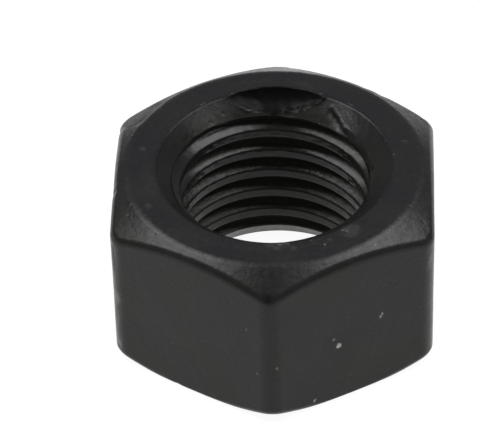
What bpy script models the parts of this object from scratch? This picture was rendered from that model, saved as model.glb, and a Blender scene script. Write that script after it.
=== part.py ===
"""Hex nut, metric coarse thread M20 x 2.5, plain, black finish.

A one-piece cold-forged steel nut with a tapped bore. It stands on its bearing
face: the origin is the centre of that face, +Z runs up the thread axis, and one
corner of the hexagon points along -Y, so the flats face 0, 60, 120 ... degrees
round the axis from +X.

Run with: blender --background --python part.py
"""

import math

import bmesh
import bpy

# Driving dimensions, in metres and degrees.
ACROSS_FLATS = 0.030
HEIGHT = 0.0171
CORNER_RADIUS = 0.0021  # rounding of the six upright edges
TOP_FACE_DIAMETER = 0.0279  # the flat ring between the bore and the top chamfer
BASE_FACE_DIAMETER = 0.0309  # the base chamfer only trims the six corners
CHAMFER_ANGLE = 30.0  # from the horizontal, both ends
PITCH = 0.0025
MAJOR_DIAMETER = 0.020
MINOR_DIAMETER = 0.01774  # the crests of the thread, the widest that class 6H allows
TOP_COUNTERSINK_DIAMETER = 0.0221
TOP_COUNTERSINK_ANGLE = 100.0  # included
BASE_COUNTERSINK_DIAMETER = 0.0201  # the base is only just opened past the thread
BASE_COUNTERSINK_ANGLE = 60.0
THREAD_PHASE = 0.00163  # height of the thread's root line straight along +X

# Fineness of the faceted surfaces.
CORNER_STEPS = 5
TURNED_STEPS = 96
THREAD_STEPS = 48
OVERSHOOT = 0.0015  # how far each cutter runs past what it cuts
WELD = 1e-6  # points nearer than this are one point

BODY_NAME = "hex_nut"


def clear_scene():
    for obj in list(bpy.data.objects):
        bpy.data.objects.remove(obj, do_unlink=True)


def new_object(name, build):
    """An object in the scene with the mesh that build(bm) makes, facing outwards."""
    bm = bmesh.new()
    build(bm)
    bmesh.ops.recalc_face_normals(bm, faces=bm.faces)
    mesh = bpy.data.meshes.new(name)
    bm.to_mesh(mesh)
    bm.free()
    obj = bpy.data.objects.new(name, mesh)
    bpy.context.scene.collection.objects.link(obj)
    return obj


def hexagon_outline():
    """The rounded hexagon, anticlockwise: an arc of CORNER_RADIUS at each corner."""
    reach = (ACROSS_FLATS / 2 - CORNER_RADIUS) / math.cos(math.radians(30))
    points = []
    for corner in range(6):
        middle = math.radians(30 + 60 * corner)
        for step in range(CORNER_STEPS + 1):
            turn = middle + math.radians(60 * step / CORNER_STEPS - 30)
            points.append(
                (
                    reach * math.cos(middle) + CORNER_RADIUS * math.cos(turn),
                    reach * math.sin(middle) + CORNER_RADIUS * math.sin(turn),
                )
            )
    return points


def hexagonal_bar(bm):
    """The bar, cut to the nut's height."""
    base = bm.faces.new([bm.verts.new((x, y, 0.0)) for x, y in hexagon_outline()])
    grown = bmesh.ops.extrude_face_region(bm, geom=[base])["geom"]
    top = [item for item in grown if isinstance(item, bmesh.types.BMVert)]
    bmesh.ops.translate(bm, verts=top, vec=(0.0, 0.0, HEIGHT))


def turned(profile):
    """A builder that turns a profile of (radius, height), both ends on the axis, about Z."""

    def build(bm):
        verts = [bm.verts.new((radius, 0.0, height)) for radius, height in profile]
        edges = [bm.edges.new(pair) for pair in zip(verts, verts[1:])]
        bmesh.ops.spin(
            bm,
            geom=verts + edges,
            cent=(0.0, 0.0, 0.0),
            axis=(0.0, 0.0, 1.0),
            angle=2 * math.pi,
            steps=TURNED_STEPS,
            use_merge=True,
        )
        bmesh.ops.remove_doubles(bm, verts=bm.verts, dist=WELD)

    return build


def chamfer_profile():
    """The double cone that the bar is turned down to, which chamfers its corners."""
    slope = math.tan(math.radians(CHAMFER_ANGLE))
    outside = ACROSS_FLATS * 0.7
    top, base = TOP_FACE_DIAMETER / 2, BASE_FACE_DIAMETER / 2
    return [
        (0.0, -OVERSHOOT),
        (base - OVERSHOOT / slope, -OVERSHOOT),
        (outside, (outside - base) * slope),
        (outside, HEIGHT - (outside - top) * slope),
        (top - OVERSHOOT / slope, HEIGHT + OVERSHOOT),
        (0.0, HEIGHT + OVERSHOOT),
    ]


def countersink_profile(diameter, angle, at_top):
    """The cone that opens one end of the bore."""
    slope = 1 / math.tan(math.radians(angle / 2))
    rim = diameter / 2
    narrow = MINOR_DIAMETER / 2 - 0.0012
    deep = (rim - narrow) * slope
    profile = [
        (0.0, -OVERSHOOT),
        (rim + OVERSHOOT / slope, -OVERSHOOT),
        (narrow, deep),
        (0.0, deep),
    ]
    if at_top:
        profile = [(radius, HEIGHT - height) for radius, height in reversed(profile)]
    return profile


def thread_profile():
    """One pitch of the thread as (height, radius), from the middle of its root flat.

    The flanks are 60 degrees apart, with a flat of P/8 at the root.
    """
    root, crest = MAJOR_DIAMETER / 2, MINOR_DIAMETER / 2
    flank_end = PITCH / 16 + (root - crest) * math.tan(math.radians(30))
    return [
        (-PITCH / 16, root),
        (PITCH / 16, root),
        (flank_end, crest),
        (PITCH - flank_end, crest),
    ]


def close_end(bm, ring, height):
    """Closes an end of the screw with a fan of triangles to a point on the axis."""
    middle = bm.verts.new((0.0, 0.0, height))
    for one, two in zip(ring, ring[1:] + ring[:1]):
        bm.faces.new((one, two, middle))


def thread_screw(bm):
    """The bore and the thread grooves as one right-hand screw, longer than the nut is high."""
    profile = thread_profile()
    pitch_rows = len(profile)
    first = math.floor((-OVERSHOOT - THREAD_PHASE) / PITCH) - 1
    last = math.ceil((HEIGHT + OVERSHOOT - THREAD_PHASE) / PITCH) + 1
    rows = [
        (THREAD_PHASE + PITCH * turn + rise, radius)
        for turn in range(first, last)
        for rise, radius in profile
    ]
    columns = []
    for step in range(THREAD_STEPS):
        angle = 2 * math.pi * step / THREAD_STEPS
        climb = PITCH * step / THREAD_STEPS
        columns.append(
            [
                bm.verts.new(
                    (radius * math.cos(angle), radius * math.sin(angle), height + climb)
                )
                for height, radius in rows
            ]
        )
    # A full turn climbs one pitch, so the seam joins each row to the one a pitch above it.
    for one, two in zip(columns, columns[1:] + [columns[0][pitch_rows:]]):
        for row in range(len(two) - 1):
            bm.faces.new((one[row], two[row], two[row + 1], one[row + 1]))
    # Each end is a ring that climbs a pitch round the screw and drops back along the seam.
    low = [column[0] for column in columns]
    low += [columns[0][row] for row in range(pitch_rows, 0, -1)]
    close_end(bm, low, rows[0][0] - PITCH)
    high = [column[-1] for column in columns]
    high += [columns[-1][-row] for row in range(2, pitch_rows + 2)]
    close_end(bm, high, rows[-1][0] + 2 * PITCH)


def combine(obj, operation, cutter):
    """Leaves an exact Boolean on obj, and its cutter as a wire helper that isn't rendered."""
    cutter.hide_render = True
    cutter.display_type = "WIRE"
    modifier = obj.modifiers.new(cutter.name, "BOOLEAN")
    modifier.operation = operation
    modifier.solver = "EXACT"
    modifier.object = cutter


def apply_modifiers(obj):
    """Bakes the Booleans into the mesh, welds its points and marks its sharp edges."""
    bpy.context.view_layer.update()
    graph = bpy.context.evaluated_depsgraph_get()
    mesh = bpy.data.meshes.new_from_object(obj.evaluated_get(graph))
    helpers = [modifier.object for modifier in obj.modifiers]
    obj.modifiers.clear()
    obj.data = mesh
    for helper in helpers:
        bpy.data.objects.remove(helper, do_unlink=True)
    bm = bmesh.new()
    bm.from_mesh(mesh)
    bmesh.ops.remove_doubles(bm, verts=bm.verts, dist=WELD)
    bmesh.ops.dissolve_degenerate(bm, edges=bm.edges, dist=WELD)
    bmesh.ops.triangulate(bm, faces=bm.faces)
    bmesh.ops.recalc_face_normals(bm, faces=bm.faces)
    bm.to_mesh(mesh)
    bm.free()
    mesh.name = obj.name
    mesh.shade_smooth()
    mesh.set_sharp_from_angle(angle=math.radians(20))


def black_finish():
    material = bpy.data.materials.new("black_oxide_steel")
    material.use_nodes = True
    shader = material.node_tree.nodes["Principled BSDF"]
    shader.inputs["Base Color"].default_value = (0.024, 0.024, 0.025, 1.0)
    shader.inputs["Metallic"].default_value = 0.3
    shader.inputs["Roughness"].default_value = 0.42
    return material


def main():
    clear_scene()
    nut = new_object(BODY_NAME, hexagonal_bar)
    combine(nut, "INTERSECT", new_object("chamfer_cones", turned(chamfer_profile())))
    combine(nut, "DIFFERENCE", new_object("thread_screw", thread_screw))
    for name, diameter, angle, at_top in (
        ("countersink_top", TOP_COUNTERSINK_DIAMETER, TOP_COUNTERSINK_ANGLE, True),
        ("countersink_base", BASE_COUNTERSINK_DIAMETER, BASE_COUNTERSINK_ANGLE, False),
    ):
        cone = new_object(name, turned(countersink_profile(diameter, angle, at_top)))
        combine(nut, "DIFFERENCE", cone)
    apply_modifiers(nut)
    nut.data.materials.clear()
    nut.data.materials.append(black_finish())


main()
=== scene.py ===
import math

import bpy
import numpy as np
from mathutils import Matrix, Vector


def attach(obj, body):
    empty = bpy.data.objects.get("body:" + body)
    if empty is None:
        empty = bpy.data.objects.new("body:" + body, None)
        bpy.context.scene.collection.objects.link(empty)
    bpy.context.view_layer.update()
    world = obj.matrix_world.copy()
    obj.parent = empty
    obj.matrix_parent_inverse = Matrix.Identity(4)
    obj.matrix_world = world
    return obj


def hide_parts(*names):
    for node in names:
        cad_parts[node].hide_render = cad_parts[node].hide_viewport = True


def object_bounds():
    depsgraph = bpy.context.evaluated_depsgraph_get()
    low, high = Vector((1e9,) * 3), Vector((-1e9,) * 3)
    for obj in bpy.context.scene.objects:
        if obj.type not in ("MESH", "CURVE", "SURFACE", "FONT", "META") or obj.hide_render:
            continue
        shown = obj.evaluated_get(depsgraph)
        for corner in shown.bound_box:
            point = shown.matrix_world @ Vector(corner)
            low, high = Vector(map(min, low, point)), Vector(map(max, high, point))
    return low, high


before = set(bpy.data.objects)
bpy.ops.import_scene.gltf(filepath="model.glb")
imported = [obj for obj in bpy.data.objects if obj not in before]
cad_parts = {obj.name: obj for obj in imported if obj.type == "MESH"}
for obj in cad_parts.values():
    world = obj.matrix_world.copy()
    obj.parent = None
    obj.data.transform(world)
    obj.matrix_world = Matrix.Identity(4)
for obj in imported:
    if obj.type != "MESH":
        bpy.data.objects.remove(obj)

cad_low, cad_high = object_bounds()

# ---------------------------------------------------------------------------
# The nut's shape, in millimetres, in the frame of the CAD model: z = 0 is the
# base face, +Z is the thread's axis and a corner of the hexagon points to -Y.
# ---------------------------------------------------------------------------

FLATS = 30.0
HEIGHT = 17.1
CORNER_R = 2.1  # rounding of the six upright edges
TOP_RING_R = 13.92  # where the top chamfer starts
BASE_RING_R = 15.45  # where the base chamfer starts
CHAMFER = math.radians(30)
TOP_EDGE_R = 0.52  # soft forged edge between the chamfer and the flats
TOP_CREASE_R = 0.22
BASE_EDGE_R = 0.55
BASE_CREASE_R = 0.30
PITCH = 2.5
ROOT_R = 10.0
CREST_R = 8.87
RIM_R = 11.05
BASE_RIM_R = 10.05
RIM_SLOPE = math.tan(math.radians(40))  # the top countersink, 100 degrees included
BASE_RIM_SLOPE = math.tan(math.radians(60))  # the base's, 60 degrees included
RIM_EDGE_R = 0.09
THREAD_PHASE = 1.63  # height of the thread's root line along +X
TOP_CONE_DEPTH = 0.75  # how far down each countersink the level rows go
BASE_CONE_DEPTH = 0.22


def soft_max(a, b, k):
    """The greater of two distances, with a fillet of radius k where both are zero."""
    u = np.maximum(a + k, 0.0)
    v = np.maximum(b + k, 0.0)
    return np.minimum(np.maximum(a, b), -k) + np.sqrt(u * u + v * v)


def blend_max(a, b, k):
    """The greater of two radii, rounded over a width k where they are equal."""
    near = np.maximum(k - np.abs(a - b), 0.0) / k
    return np.maximum(a, b) + near * near * k / 4


def blend_min(a, b, k):
    return -blend_max(-a, -b, k)


def smooth_step(low, high, value):
    t = np.clip((value - low) / (high - low), 0.0, 1.0)
    return t * t * (3 - 2 * t)


def folded(phi):
    """Angle from the middle of the nearest flat, in -30..30 degrees."""
    step = math.pi / 3
    return phi - np.round(phi / step) * step


def hexagon_distance(radius, phi):
    """Distance outside the hexagon with rounded corners."""
    turn = folded(phi)
    along, across = radius * np.cos(turn), np.abs(radius * np.sin(turn))
    apothem = FLATS / 2 - CORNER_R
    half = apothem * math.tan(math.pi / 6)
    past = np.maximum(across - half, 0.0)
    ahead = along - apothem
    # Past the straight part of a flat the corner's arc takes over.
    arc = np.hypot(np.maximum(ahead, 0.0), past)
    return np.where((ahead > 0) & (past > 0), arc, ahead) - CORNER_R


def waves(x, y, z, seed, length, count=7):
    """A smooth, repeatable unevenness made of a few slanted waves, about -1 to 1."""
    rng = np.random.default_rng(seed)
    total = np.zeros_like(x)
    for _ in range(count):
        way = rng.normal(size=3)
        way /= np.linalg.norm(way)
        size = length * rng.uniform(0.6, 1.6)
        turn = 2 * math.pi * (way[0] * x + way[1] * y + way[2] * z) / size
        total += np.sin(turn + rng.uniform(0, 2 * math.pi))
    return total / math.sqrt(count)


def bore_radius(phi, z):
    """Radius of the bore: the thread, opened by a cone at each end."""
    rise = (z - THREAD_PHASE) / PITCH - phi / (2 * math.pi)
    away = np.abs(rise - np.round(rise)) * PITCH
    flank = ROOT_R - (away - PITCH / 16) / math.tan(math.radians(30))
    thread = blend_min(flank, np.full_like(flank, ROOT_R), 0.30)
    thread = blend_max(thread, np.full_like(flank, CREST_R), 0.14)
    top = RIM_R - (HEIGHT - z) / RIM_SLOPE
    base = BASE_RIM_R - z / BASE_RIM_SLOPE
    return blend_max(thread, np.maximum(top, base), 0.08)


def outer_distance(radius, phi, z):
    side = hexagon_distance(radius, phi)
    sine, cosine = math.sin(CHAMFER), math.cos(CHAMFER)
    top_cone = (radius - TOP_RING_R) * sine + (z - HEIGHT) * cosine
    base_cone = (radius - BASE_RING_R) * sine - z * cosine
    body = soft_max(side, top_cone, TOP_EDGE_R)
    body = soft_max(body, base_cone, BASE_EDGE_R)
    body = soft_max(body, z - HEIGHT, TOP_CREASE_R)
    return soft_max(body, -z, BASE_CREASE_R)


def true_distance(radius, phi, z):
    bore = (bore_radius(phi, z) - radius) * 0.766
    return soft_max(outer_distance(radius, phi, z), bore, RIM_EDGE_R)


# ---------------------------------------------------------------------------
# What forging, handling and wear did to it. All of it is pressed in or worn off,
# but for low burrs on the slopes of the countersink.
# ---------------------------------------------------------------------------

# The lower edge of the dent at the back of the rim, where metal was pushed up.
DENT_BURR = [
    (-0.6, 9.35, 15.66), (0.5, 9.45, 15.76), (1.24, 9.53, 15.88), (2.2, 9.67, 16.14),
    (3.16, 9.70, 16.38), (4.13, 9.68, 16.65), (4.55, 9.95, 16.98),
]  # fmt: skip
DENT_LIP = [(-4.73, 9.89, 17.0), (-3.96, 9.59, 16.53), (-3.18, 9.27, 16.05), (-2.5, 9.1, 15.74)]
# A fold that runs from the rim down the countersink on the right.
FOLD = [
    (5.29, 9.02, 16.59), (5.88, 8.19, 16.28), (6.30, 7.35, 15.98), (7.05, 6.15, 15.72),
    (7.95, 4.62, 15.62), (8.68, 3.28, 15.66), (9.36, 1.12, 15.78),
]  # fmt: skip
# Where a painted shade streak runs on the left of the countersink.
CREASE = [(-7.81, 7.82, 17.05), (-8.24, 6.55, 16.66), (-8.63, 4.12, 15.84)]
SCORE = [(-4.3, 12.1, 17.1), (-2.0, 12.5, 17.1), (0.7, 12.6, 17.1), (2.6, 12.15, 17.1), (3.4, 11.5, 17.1)]


# On the top face: x, y, reach and depth.
MARKS = [
    (-0.15, -11.2, 0.50, 0.07), (0.55, -11.5, 0.55, 0.10), (1.35, -11.25, 0.42, 0.08), (2.1, -11.7, 0.30, 0.05),
    (4.0, -10.8, 0.45, 0.07), (4.75, -11.35, 0.36, 0.07), (5.35, -10.6, 0.30, 0.05), (7.25, -9.25, 1.0, 0.10),
    (-11.4, -6.0, 0.35, 0.05), (-9.3, -9.2, 0.25, 0.04), (12.2, 3.4, 0.30, 0.05), (-12.4, 2.2, 0.35, 0.04),
]  # fmt: skip


def line_distance(points, line):
    """Distance from each point to a line through the given points."""
    best = np.full(len(points), 1e9)
    for start, end in zip(line, line[1:]):
        start, along = np.array(start), np.array(end) - np.array(start)
        part = np.clip((points - start) @ along / (along @ along), 0.0, 1.0)
        gap = points - start - part[:, None] * along
        best = np.minimum(best, np.sqrt((gap**2).sum(1)))
    return best


def hump(distance, width):
    return np.exp(-((distance / width) ** 2))


def edge_nicks():
    """Places, widths and depths of the small knocks along the outer edges."""
    rng = np.random.default_rng(20)
    nicks = []
    for _ in range(34):
        corner = math.radians(30 + 60 * rng.integers(0, 6))
        if rng.random() < 0.45:  # on an upright edge
            r, phi, z = 17.0, corner, rng.uniform(1.5, 15.0)
        elif rng.random() < 0.65:  # on the soft edge round the top
            phi = rng.uniform(0, 2 * math.pi)
            r = 14.85 / math.cos(folded(np.array([phi]))[0])
            r, z = min(r, 16.6), HEIGHT - 0.75 - max(0.0, min(r, 16.6) - 14.85) * 0.55
        else:  # on the base's edge
            phi = rng.uniform(0, 2 * math.pi)
            r = min(14.95 / math.cos(folded(np.array([phi]))[0]), 16.2)
            z = 0.12
        place = (r * math.cos(phi), r * math.sin(phi), z)
        width, deep = rng.uniform(0.22, 0.6), rng.uniform(0.04, 0.13)
        if abs(place[0]) > 1.5 or place[1] > -16 or place[2] > 6:  # the front edge is clean
            nicks.append((place, width, deep))
    return nicks


NICKS = edge_nicks()


def wear_depth(x, y, z):
    """How deep the surface is worn or pressed below the true shape, in millimetres."""
    points = np.stack([x, y, z], axis=1)
    radius = np.hypot(x, y)
    depth = np.zeros_like(x)

    # The flats and chamfers are as forged: very slightly wavy.
    outside = smooth_step(11.6, 12.6, radius)
    depth += outside * 0.030 * (1 + 0.5 * waves(x, y, z, 3, 9.0))
    depth += outside * 0.006 * (1 + 0.5 * waves(x, y, z, 4, 2.2))
    # The crests of the thread are ragged where the tap tore them.
    crest = 1 - smooth_step(8.75, 9.25, radius)
    depth += crest * 0.007 * (1 + waves(x, y, z, 5, 0.9, 9))
    flank = (radius < 10.2) & (z < HEIGHT - 1.6)
    depth += flank * 0.0035 * waves(x, y, z, 6, 1.3, 9)
    # The countersink was left by a blunt tool.
    cone = (radius > 9.0) & (radius < 11.3) & (z > HEIGHT - 1.9)
    depth += cone * 0.010 * (1 + waves(x, y, z, 7, 2.6))

    top = z > HEIGHT - 2.6
    if top.any():
        here = points[top]
        hx, hy, hz = here.T
        cut = np.zeros(len(here))
        ragged = 1 + 0.45 * waves(hx, hy, hz, 8, 0.7, 9)
        cut -= 0.06 * hump(line_distance(here, DENT_BURR), 0.15) * ragged
        cut -= 0.035 * hump(line_distance(here, FOLD), 0.17) * ragged
        inner = [(a * 0.955, b * 0.955, c - 0.10) for a, b, c in FOLD]
        cut += 0.13 * hump(line_distance(here, inner), 0.24) * ragged
        cut += 0.05 * hump(line_distance(here, SCORE), 0.12) * ragged
        # Plain marks of handling on the front of the top face: shallow knocks with
        # broken floors, and a dimple.
        face = hz > HEIGHT - 0.4
        broken = 0.6 + 0.4 * waves(hx, hy, hz, 11, 0.8, 9)
        for px, py, reach, deep in MARKS:
            gap = np.hypot(hx - px, (hy - py) * 1.15)
            cut += face * deep * broken * (1 - smooth_step(reach * 0.55, reach, gap))
        # A knocked stretch on the rear left edge.
        scuff = line_distance(here, [(-12.6, 6.9, 16.85), (-11.2, 8.9, 16.85)])
        cut += 0.06 * hump(scuff, 0.75) * (1 + 0.25 * waves(hx, hy, hz, 9, 1.7))
        depth[top] += cut

    for place, width, deep in NICKS:
        gap = np.sqrt(((points - np.array(place)) ** 2).sum(1))
        depth += deep * hump(gap, width)
    return depth


def dent_hollow(x, y, z):
    """Above zero inside the blunt, round-ended tool that pressed in the back of the rim."""
    reach = 2.465 - 0.055 * (x + 0.1) ** 2 + 0.02 * waves(x, y, z, 10, 1.3)
    return np.where(y > 5, reach - np.hypot(y - 9.258, z - 18.125), -1.0)


def painted_shade_amount(x, y, z):
    """Painted shade: darker along the fold, the dent's lip and lower edge, and the front corner's chamfer, and in
    streaks on the countersink and the rear-left chamfer.
    """
    points = np.stack([x, y, z], axis=1)
    inner = [(a * 0.955, b * 0.955, c - 0.10) for a, b, c in FOLD]
    # Painted shade along the fold's hollow, in a streak on the left of the countersink and along the dent's lip.
    amount = hump(line_distance(points, inner), 0.42)
    amount = np.maximum(amount, 0.55 * hump(line_distance(points, CREASE), 0.38))
    amount = np.maximum(amount, 0.8 * hump(line_distance(points, DENT_LIP), 0.34))
    # Painted shade on the front corner's chamfer, darkest at its tip.
    corner = np.sqrt(x**2 + (y + 15.2) ** 2 + (z - 16.5) ** 2)
    tip = np.sqrt((x * 1.3) ** 2 + (y + 16.75) ** 2 + (z - 15.4) ** 2)
    amount = np.maximum(amount, 0.42 * hump(corner, 1.5))
    rear = line_distance(points, [(-14.5, 4.5, 16.6), (-11.5, 9.6, 16.6)])
    amount = np.maximum(amount, 0.45 * hump(rear, 1.3))
    amount = np.maximum(amount, 0.75 * hump(tip, 0.62))
    # Painted shadow under the dent's lower edge.
    return np.maximum(amount, 0.9 * hump(line_distance(points, DENT_BURR[:5]), 0.45))


def wear_and_glint_amount(x, y, z):
    """Where knocks have rubbed the finish thin on the top face, and painted glints on the edge under the dent."""
    points = np.stack([x, y, z], axis=1)
    amount = hump(line_distance(points, SCORE), 0.13)
    for px, py, reach, _ in MARKS:
        amount = np.maximum(amount, 1 - smooth_step(reach * 0.6, reach * 1.15, np.hypot(x - px, y - py)))
    amount = amount * (z > HEIGHT - 0.5)
    # Painted highlights: pale glints on the edge under the dent.
    for line in ([(-3.1, 8.46, 15.42), (-1.7, 8.84, 15.42)], [(0.3, 8.99, 15.42), (1.6, 8.86, 15.42)]):
        amount = np.maximum(amount, 2.5 * hump(line_distance(points, line), 0.16))
    return amount


def shape_distance(x, y, z):
    """The nut with its dent, before wear."""
    shape = true_distance(np.hypot(x, y), np.arctan2(y, x), z)
    return soft_max(shape, dent_hollow(x, y, z), 0.07)


def solid_distance(x, y, z):
    return shape_distance(x, y, z) + wear_depth(x, y, z)


def field_slope(field, points, reach):
    x, y, z = points.T
    return np.stack(
        [
            field(x + reach, y, z) - field(x - reach, y, z),
            field(x, y + reach, z) - field(x, y - reach, z),
            field(x, y, z + reach) - field(x, y, z - reach),
        ],
        axis=1,
    ) / (2 * reach)


def onto_surface(points, rounds=4):
    """Moves points down the shape's slope until they lie on the worn surface."""
    for _ in range(rounds):
        slope = field_slope(shape_distance, points, 1e-3)
        size = np.maximum((slope**2).sum(1), 0.2)
        step = np.clip(solid_distance(*points.T) / size, -0.2, 0.2)
        points = points - slope * step[:, None]
    return points


# ---------------------------------------------------------------------------
# The mesh: columns round the axis. Level rows run round the outside of the
# section, from one countersink to the other, and climbing rows follow the thread.
# ---------------------------------------------------------------------------

COLUMNS = 448
OUTER_ROWS = 88
THREAD_CUTS = np.array(
    [0.0, 0.035, 0.075, 0.150, 0.225, 0.275, 0.300, 0.323, 0.350, 0.410]
    + [0.5, 0.590, 0.650, 0.677, 0.700, 0.725, 0.775, 0.850, 0.925, 0.965]
)


def column_angles():
    """Columns are closest where there is most to show: the back of the bore's rim."""
    fine = np.linspace(0, 2 * math.pi, 7201)
    density = np.ones_like(fine)
    for middle, reach, extra in ((72, 55, 0.75), (270, 34, 0.35)):
        gap = np.abs((np.degrees(fine) - middle + 180) % 360 - 180)
        density += extra * (1 - smooth_step(reach * 0.7, reach * 1.3, gap))
    travelled = np.concatenate(
        [[0], np.cumsum((density[1:] + density[:-1]) / 2 * np.diff(fine))]
    )
    stations = np.linspace(0, travelled[-1], COLUMNS, endpoint=False)
    return np.interp(stations, travelled, fine)


def section_table(angles, rays=2400):
    """For each angle from a flat's middle, OUTER_ROWS + 1 points (r, z) round the outside
    of the section, from the top countersink to the base one, closest where it curves."""
    centre_r, centre_z = 12.9, HEIGHT / 2
    top_r = RIM_R - TOP_CONE_DEPTH / RIM_SLOPE
    base_r = BASE_RIM_R - BASE_CONE_DEPTH / BASE_RIM_SLOPE
    start = math.atan2(HEIGHT - TOP_CONE_DEPTH - centre_z, top_r - centre_r)
    end = math.atan2(BASE_CONE_DEPTH - centre_z, base_r - centre_r)
    turns = np.linspace(start, end, rays)
    table = []
    for phi in angles:
        near, far = np.zeros(rays), np.full(rays, 13.0)
        for _ in range(34):
            middle = (near + far) / 2
            r = centre_r + middle * np.cos(turns)
            z = centre_z + middle * np.sin(turns)
            inside = true_distance(r, np.full(rays, phi), z) < 0
            near, far = np.where(inside, middle, near), np.where(inside, far, middle)
        r = centre_r + near * np.cos(turns)
        z = centre_z + near * np.sin(turns)
        step = np.hypot(np.diff(r), np.diff(z))
        way = np.unwrap(np.arctan2(np.diff(z), np.diff(r)))
        bend = np.abs(np.diff(way, prepend=way[0]))
        wide = np.ones(31) / 31
        bend = np.convolve(np.pad(bend, 15, mode="edge"), wide, "valid")
        spacing = np.where(z[1:] > HEIGHT - 0.9, 0.16, 0.95)
        spacing = np.convolve(np.pad(spacing, 15, mode="edge"), wide, "valid")
        weight = step / spacing + bend / math.radians(5.5)
        travelled = np.concatenate([[0], np.cumsum(weight)])
        stations = np.linspace(0, travelled[-1], OUTER_ROWS + 1)
        table.append(
            np.stack(
                [np.interp(stations, travelled, r), np.interp(stations, travelled, z)],
                axis=1,
            )
        )
    return np.array(table)


def nut_mesh():
    """Points in millimetres and faces of the closed body."""
    angles = column_angles()
    known = np.linspace(0, math.pi / 6, 61)
    table = section_table(known)
    fold = np.abs(folded(angles))
    points, faces = [], []
    level = np.empty((COLUMNS, OUTER_ROWS + 1), int)
    for i, phi in enumerate(angles):
        for row in range(OUTER_ROWS + 1):
            r = np.interp(fold[i], known, table[:, row, 0])
            z = np.interp(fold[i], known, table[:, row, 1])
            level[i, row] = len(points)
            points.append((r * math.cos(phi), r * math.sin(phi), z))
    for i in range(COLUMNS):
        a, b = level[i], level[(i + 1) % COLUMNS]
        for j in range(OUTER_ROWS):
            faces.append((a[j + 1], b[j + 1], b[j], a[j]))

    # The climbing rows, a pitch a turn. A row above or below the level rows' ends is
    # drawn in to them.
    low = math.floor(-THREAD_PHASE / PITCH) - 2
    high = math.ceil((HEIGHT - THREAD_PHASE) / PITCH) + 1
    rows = np.concatenate(
        [THREAD_PHASE + PITCH * (turn + THREAD_CUTS) for turn in range(low, high + 1)]
    )
    margin = 0.035
    bore = []
    for i, phi in enumerate(angles):
        heights = rows + PITCH * phi / (2 * math.pi)
        radii = bore_radius(np.full_like(heights, phi), heights)
        column = []
        for z, r in zip(heights, radii):
            if z >= HEIGHT - TOP_CONE_DEPTH - margin:
                column.append(level[i, 0])
            elif z <= BASE_CONE_DEPTH + margin:
                column.append(level[i, -1])
            else:
                column.append(len(points))
                points.append((r * math.cos(phi), r * math.sin(phi), z))
        bore.append(column)
    for i in range(COLUMNS):
        a = bore[i]
        b = bore[i + 1] if i + 1 < COLUMNS else bore[0][len(THREAD_CUTS) :]
        for j in range(min(len(a), len(b)) - 1):
            loop = []
            for corner in (a[j], a[j + 1], b[j + 1], b[j]):
                if corner not in loop:
                    loop.append(corner)
            if len(loop) > 2:
                faces.append(tuple(loop))
    return np.array(points), faces


def build_nut(name):
    points, faces = nut_mesh()
    points = onto_surface(points)
    normals = field_slope(solid_distance, points, 4e-3)
    normals /= np.linalg.norm(normals, axis=1)[:, None]
    low, high = np.array(cad_low) * 1000, np.array(cad_high) * 1000
    points = np.clip(points, low, high)
    mesh = bpy.data.meshes.new(name)
    mesh.from_pydata((points * 0.001).tolist(), [], faces)
    mesh.validate()
    mesh.shade_smooth()
    obj = bpy.data.objects.new(name, mesh)
    bpy.context.scene.collection.objects.link(obj)
    return obj, points, normals


nut, nut_points, nut_normals = build_nut("hex_nut_forged")
nut.data.normals_split_custom_set_from_vertices(nut_normals.tolist())
print("nut faces", len(nut.data.polygons), "triangles", sum(len(p.vertices) - 2 for p in nut.data.polygons))

# ---------------------------------------------------------------------------
# The black oxide finish
# ---------------------------------------------------------------------------


def paint_attributes(obj, points):
    """Stores, at each point, what the finish and the painted light and shade depend on: how far the surface stands
    out at an edge or sinks in a crease, and how far into the bore it is."""
    x, y, z = points.T
    radius = np.hypot(x, y)
    reach = 0.16
    bend = np.zeros(len(points))
    for axis in range(3):
        for sign in (-1, 1):
            moved = points.copy()
            moved[:, axis] += sign * reach
            bend += solid_distance(*moved.T)
    bend = (bend - 6 * solid_distance(x, y, z)) / reach**2
    layers = {
        "edge": np.clip(bend / 3.5, 0, 1),
        "crease": np.clip(-bend / 2.5, 0, 1),
        "bore": (1 - smooth_step(9.9, 10.4, radius)) * (1 - smooth_step(HEIGHT - 1.6, HEIGHT - 0.8, z)),
        "groove": smooth_step(9.1, 9.7, radius)
        * (1 - smooth_step(10.1, 10.4, radius))
        * (1 - smooth_step(HEIGHT - 3.2, HEIGHT - 2.2, z)),
        "torn": smooth_step(8.90, 9.02, radius)
        * (1 - smooth_step(9.6, 10.0, radius))
        * smooth_step(0.8, 1.6, z)
        * (1 - smooth_step(9.9, 10.7, z)),
        # Painted shade on the countersink, heavier on the left, and along the rim's edge.
        "painted_cone_shade": (0.18 - 0.12 * np.clip(x / 6, -1, 1)) * smooth_step(9.0, 9.4, radius) * (1 - smooth_step(11.0, 11.12, radius)) * smooth_step(HEIGHT - 2.2, HEIGHT - 1.7, z)
        + 0.35 * hump(radius - RIM_R, 0.14) * smooth_step(HEIGHT - 0.3, HEIGHT - 0.15, z),
        "wear_and_glint": wear_and_glint_amount(x, y, z),
        "dent": smooth_step(-0.12, -0.02, dent_hollow(x, y, z)) * (z > HEIGHT - 2.2),
        "painted_shade": painted_shade_amount(x, y, z),
    }
    for name, values in layers.items():
        layer = obj.data.attributes.new(name, "FLOAT", "POINT")
        layer.data.foreach_set("value", values.astype(np.float32))


paint_attributes(nut, nut_points)

steel = bpy.data.materials.new("black_oxide_steel_finish")
steel.use_nodes = True
tree = steel.node_tree
nodes, links = tree.nodes, tree.links
shader = nodes["Principled BSDF"]
shader.inputs["IOR"].default_value = 1.30
shader.inputs["Metallic"].default_value = 0.0


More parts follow.
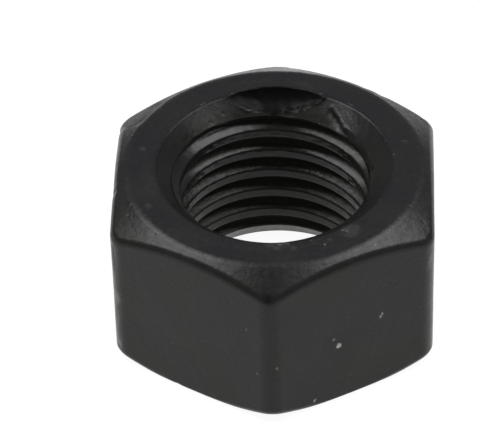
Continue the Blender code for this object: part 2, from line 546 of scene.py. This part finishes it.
def feed(socket, value):
    """Links a node's output to a socket, or sets the socket to a plain value."""
    if isinstance(value, bpy.types.NodeSocket):
        links.new(value, socket)
    else:
        socket.default_value = value


def maths(operation, a, b=0.0, clamp=False):
    node = nodes.new("ShaderNodeMath")
    node.operation = operation
    node.use_clamp = clamp
    feed(node.inputs[0], a)
    feed(node.inputs[1], b)
    return node.outputs[0]


def spread(value, low, high, to_low=0.0, to_high=1.0):
    node = nodes.new("ShaderNodeMapRange")
    node.interpolation_type = "SMOOTHSTEP"
    feed(node.inputs["Value"], value)
    for name, number in (("From Min", low), ("From Max", high), ("To Min", to_low), ("To Max", to_high)):
        node.inputs[name].default_value = number
    return node.outputs["Result"]


def mixed(factor, a, b):
    node = nodes.new("ShaderNodeMix")
    node.data_type = "RGBA"
    feed(node.inputs[0], factor)
    feed(node.inputs[6], a)
    feed(node.inputs[7], b)
    return node.outputs[2]


def attribute(name):
    node = nodes.new("ShaderNodeAttribute")
    node.attribute_name = name
    return node.outputs["Fac"]


place = nodes.new("ShaderNodeTexCoord").outputs["Object"]


def noise(size_mm, detail=3.0, roughness=0.55, stretch=None, offset=(0, 0, 0)):
    where = nodes.new("ShaderNodeMapping")
    links.new(place, where.inputs["Vector"])
    where.inputs["Scale"].default_value = stretch or (1, 1, 1)
    where.inputs["Location"].default_value = offset
    node = nodes.new("ShaderNodeTexNoise")
    links.new(where.outputs["Vector"], node.inputs["Vector"])
    node.inputs["Scale"].default_value = 1000.0 / size_mm
    node.inputs["Detail"].default_value = detail
    node.inputs["Roughness"].default_value = roughness
    return node.outputs["Fac"]


def cells(size_mm, offset=(0, 0, 0)):
    where = nodes.new("ShaderNodeMapping")
    links.new(place, where.inputs["Vector"])
    where.inputs["Location"].default_value = offset
    node = nodes.new("ShaderNodeTexVoronoi")
    links.new(where.outputs["Vector"], node.inputs["Vector"])
    node.inputs["Scale"].default_value = 1000.0 / size_mm
    return node.outputs["Distance"]


def near_point(point_mm, size_mm, stretch=(1, 1, 1)):
    """Distance from a place on the nut, in units of size_mm, stretched along each axis."""
    gap = nodes.new("ShaderNodeVectorMath")
    gap.operation = "SUBTRACT"
    links.new(place, gap.inputs[0])
    gap.inputs[1].default_value = [v * 0.001 for v in point_mm]
    scale = nodes.new("ShaderNodeVectorMath")
    scale.operation = "MULTIPLY"
    links.new(gap.outputs[0], scale.inputs[0])
    scale.inputs[1].default_value = [s * 1000.0 / size_mm for s in stretch]
    length = nodes.new("ShaderNodeVectorMath")
    length.operation = "LENGTH"
    links.new(scale.outputs[0], length.inputs[0])
    return length.outputs["Value"]


edge, crease = attribute("edge"), attribute("crease")
bore, dent = attribute("bore"), attribute("dent")
groove, painted_shade = attribute("groove"), attribute("painted_shade")
torn, wear_and_glint, painted_cone_shade = attribute("torn"), attribute("wear_and_glint"), attribute("painted_cone_shade")
fine = noise(0.22, 4.0, 0.65)
grain = noise(0.55, 3.0)
blotch = noise(5.5, 3.0, 0.55)
tint = noise(9.0, 2.0, offset=(0.01, 0.02, 0.03))
height = nodes.new("ShaderNodeSeparateXYZ")
links.new(place, height.inputs[0])

# Colour: slate black, warmer in patches, rubbed paler along the edges. Painted light and shade: darker towards the
# base, an olive glow of bounce light low in the bore, paler thread roots standing in for fill light, and dark in
# the creases, the dent, the fold and the countersink.
slate = (0.0114, 0.0115, 0.0128, 1)
green = (0.0108, 0.0119, 0.0114, 1)
olive = (0.0126, 0.0123, 0.0104, 1)
colour = mixed(spread(tint, 0.40, 0.62), green, olive)
colour = mixed(spread(height.outputs["Z"], 0.0160, 0.0169), colour, slate)
colour = mixed(spread(blotch, 0.40, 0.70, 0.0, 0.55), colour, (0.0165, 0.0164, 0.0155, 1))
# Painted shade: darker towards the base.
colour = mixed(spread(height.outputs["Z"], 0.0080, 0.0010, 0.0, 0.30), colour, (0.0050, 0.0050, 0.0044, 1))
low_bore = maths("MULTIPLY", bore, spread(height.outputs["Z"], 0.0112, 0.005))
# Painted bounce light: an olive glow low in the bore.
colour = mixed(maths("MULTIPLY", low_bore, 0.8), colour, (0.0135, 0.0128, 0.0092, 1))
# Painted fill light: the thread's roots made paler.
colour = mixed(maths("MULTIPLY", groove, 0.8), colour, (0.0600, 0.0570, 0.0500, 1))
rubbed = maths("MULTIPLY", edge, spread(noise(1.3, 4.0, 0.7), 0.52, 0.72))
colour = mixed(maths("MULTIPLY", rubbed, 0.35), colour, (0.032, 0.031, 0.030, 1))
# Pale rubbed marks on the top face, and painted glints under the dent.
worn_spots_and_glints = maths("MULTIPLY", wear_and_glint, spread(noise(1.6, 2.0, 0.5), 0.25, 0.60))
colour = mixed(maths("MULTIPLY", worn_spots_and_glints, 0.5), colour, (0.042, 0.041, 0.040, 1))
patchy = spread(noise(0.8, 3.0, 0.6), 0.33, 0.56)
# Painted shade: dark in the creases, in the dent, along the fold and the dent's edges, at the front corner and on
# the countersink.
painted_shade_mask = maths("MAXIMUM", maths("MULTIPLY", crease, maths("SUBTRACT", 0.5, maths("MULTIPLY", bore, 0.5))), dent)
painted_shade_mask = maths("MAXIMUM", painted_shade_mask, maths("MULTIPLY", painted_shade, patchy))
painted_shade_mask = maths("MAXIMUM", painted_shade_mask, painted_cone_shade)
colour = mixed(maths("MULTIPLY", painted_shade_mask, 0.95, True), colour, (0.0035, 0.0033, 0.0033, 1))

# Chips that show pale metal, on the faces where they were found, and a fine scatter.
chips = None
for point, size, bright in (
    ((10.05, -11.52, 8.52), 0.12, 0.7),
    ((10.22, -11.42, 8.77), 0.11, 0.8),
    ((6.22, -13.73, 6.82), 0.22, 1.0),
    ((5.77, -13.99, 7.82), 0.11, 0.5),
    ((3.98, -15.02, 0.99), 0.14, 0.6),
    ((-2.2, -16.05, 10.93), 0.13, 0.18),
    ((-1.28, -16.58, 5.90), 0.12, 0.22),
    ((0.59, -16.9, 6.86), 0.11, 0.3),
):
    gap = near_point(point, size, (1, 1, 0.7))
    gap = maths("ADD", gap, maths("MULTIPLY", maths("SUBTRACT", fine, 0.5), 3.0))
    chip = spread(gap, 1.3, 0.6, 0.0, bright)
    chips = chip if chips is None else maths("MAXIMUM", chips, chip)
colour = mixed(chips, colour, (0.38, 0.37, 0.35, 1))
dust = maths("MULTIPLY", spread(cells(1.9), 0.085, 0.045), spread(noise(4.0), 0.55, 0.68))
colour = mixed(maths("MULTIPLY", dust, 0.35), colour, (0.16, 0.155, 0.14, 1))
links.new(colour, shader.inputs["Base Color"])
# The painted shade also takes most of the shine away where it lies.
shine = mixed(maths("MULTIPLY", painted_shade_mask, 0.97, True), (1, 1, 1, 1), (0.10, 0.09, 0.09, 1))
links.new(shine, shader.inputs["Specular Tint"])

# Gloss: satin outside, smoother where the tap cut, a little rougher under the painted shade.
rough = maths("ADD", spread(grain, 0.25, 0.75, 0.22, 0.33), maths("MULTIPLY", maths("SUBTRACT", blotch, 0.5), 0.10))
rough = maths("SUBTRACT", rough, maths("MULTIPLY", bore, 0.06))
rough = maths("ADD", rough, maths("MULTIPLY", low_bore, 0.12))
rough = maths("ADD", rough, maths("MULTIPLY", groove, 0.06))
rough = maths("ADD", rough, maths("MULTIPLY", painted_shade_mask, 0.04))
rough = maths("SUBTRACT", rough, maths("MULTIPLY", rubbed, 0.06), True)
links.new(rough, shader.inputs["Roughness"])

# The grain of the finish, with scattered pits.
relief = maths("ADD", maths("MULTIPLY", fine, 0.5), grain)
pits = maths("MULTIPLY", spread(cells(1.1, (0.003, 0.001, 0.002)), 0.30, 0.06), spread(noise(1.7, 3.0), 0.44, 0.62))
relief = maths("SUBTRACT", relief, maths("MULTIPLY", pits, 0.8))
calm = maths("SUBTRACT", 1.0, maths("MULTIPLY", bore, 0.6))
relief = maths("MULTIPLY", relief, calm)
relief = maths("ADD", relief, maths("MULTIPLY", torn, maths("MULTIPLY", noise(0.42, 3.0, 0.7), 3.0)))
bump = nodes.new("ShaderNodeBump")
bump.inputs["Strength"].default_value = 0.55
bump.inputs["Distance"].default_value = 0.000035
links.new(relief, bump.inputs["Height"])
links.new(bump.outputs["Normal"], shader.inputs["Normal"])
nut.data.materials.append(steel)

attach(nut, "root")
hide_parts("hex_nut")

# ---------------------------------------------------------------------------
# Floor, light and camera
# ---------------------------------------------------------------------------

scene = bpy.context.scene
scene.view_settings.view_transform = "Standard"
scene.view_settings.look = "None"

floor_mesh = bpy.data.meshes.new("floor")
reach = 3.0
floor_mesh.from_pydata(
    [(-reach, -reach, 0), (reach, -reach, 0), (reach, reach, 0), (-reach, reach, 0)],
    [],
    [(0, 1, 2, 3)],
)
floor = bpy.data.objects.new("floor", floor_mesh)
floor.location = (0, 0, -0.00002)
scene.collection.objects.link(floor)
pale = bpy.data.materials.new("pale_floor")
pale.use_nodes = True
surface = pale.node_tree.nodes["Principled BSDF"]
surface.inputs["Base Color"].default_value = (0.10, 0.10, 0.10, 1)
surface.inputs["Roughness"].default_value = 1.0
surface.inputs["Specular IOR Level"].default_value = 0.0
surface.inputs["Emission Color"].default_value = (1, 1, 1, 1)
surface.inputs["Emission Strength"].default_value = 0.94
floor_mesh.materials.append(pale)

world = bpy.data.worlds.new("studio")
scene.world = world
world.use_nodes = True
world.node_tree.nodes["Background"].inputs["Color"].default_value = (1, 1, 1, 1)
world.node_tree.nodes["Background"].inputs["Strength"].default_value = 0.24


def soft_box(name, place, size, radiance):
    """A panel that faces straight down, as bright at every angle."""
    data = bpy.data.lights.new(name, "AREA")
    data.shape = "RECTANGLE"
    data.size, data.size_y = size
    data.energy = radiance * size[0] * size[1] * math.pi
    obj = bpy.data.objects.new(name, data)
    scene.collection.objects.link(obj)
    obj.location = place
    return obj


soft_box("left_box", (-0.49, 0.165, 0.80), (0.62, 0.63), 6.5)
soft_box("right_box", (0.49, 0.165, 0.80), (0.62, 0.63), 6.5)

AZ, EL, ROLL = math.radians(2.395), math.radians(41.525), math.radians(-1.259)
DISTANCE = 11.125 * FLATS * 0.001
FOCAL = 315.139 * 11.125  # in pixels of a 480 pixel wide frame
CENTRE = (275.524, 241.478)  # where the aim point falls in the frame
back = Vector(
    (math.sin(AZ) * math.cos(EL), -math.cos(AZ) * math.cos(EL), math.sin(EL))
)
aim = Vector((0, 0, 0.25 * FLATS * 0.001))
eye = aim + back * DISTANCE
forward = -back
right = forward.cross(Vector((0, 0, 1))).normalized()
up = right.cross(forward)
right, up = (
    math.cos(ROLL) * right + math.sin(ROLL) * up,
    -math.sin(ROLL) * right + math.cos(ROLL) * up,
)
# The camera turns a little so that the aim point falls off the middle of the frame.
off_x, off_y = (CENTRE[0] - 240.0) / FOCAL, -(CENTRE[1] - 223.0) / FOCAL
new_forward = (forward - right * off_x - up * off_y).normalized()
new_right = (right - new_forward * right.dot(new_forward)).normalized()
new_up = new_right.cross(new_forward)
camera_data = bpy.data.cameras.new("camera")
camera_data.sensor_width = 36.0
camera_data.lens = FOCAL * 36.0 / 480.0
camera_data.clip_start, camera_data.clip_end = 0.01, 20
camera = bpy.data.objects.new("camera", camera_data)
scene.collection.objects.link(camera)
camera.matrix_world = Matrix(
    (
        (new_right.x, new_up.x, -new_forward.x, eye.x),
        (new_right.y, new_up.y, -new_forward.y, eye.y),
        (new_right.z, new_up.z, -new_forward.z, eye.z),
        (0, 0, 0, 1),
    )
)
scene.camera = camera

bpy.context.view_layer.update()
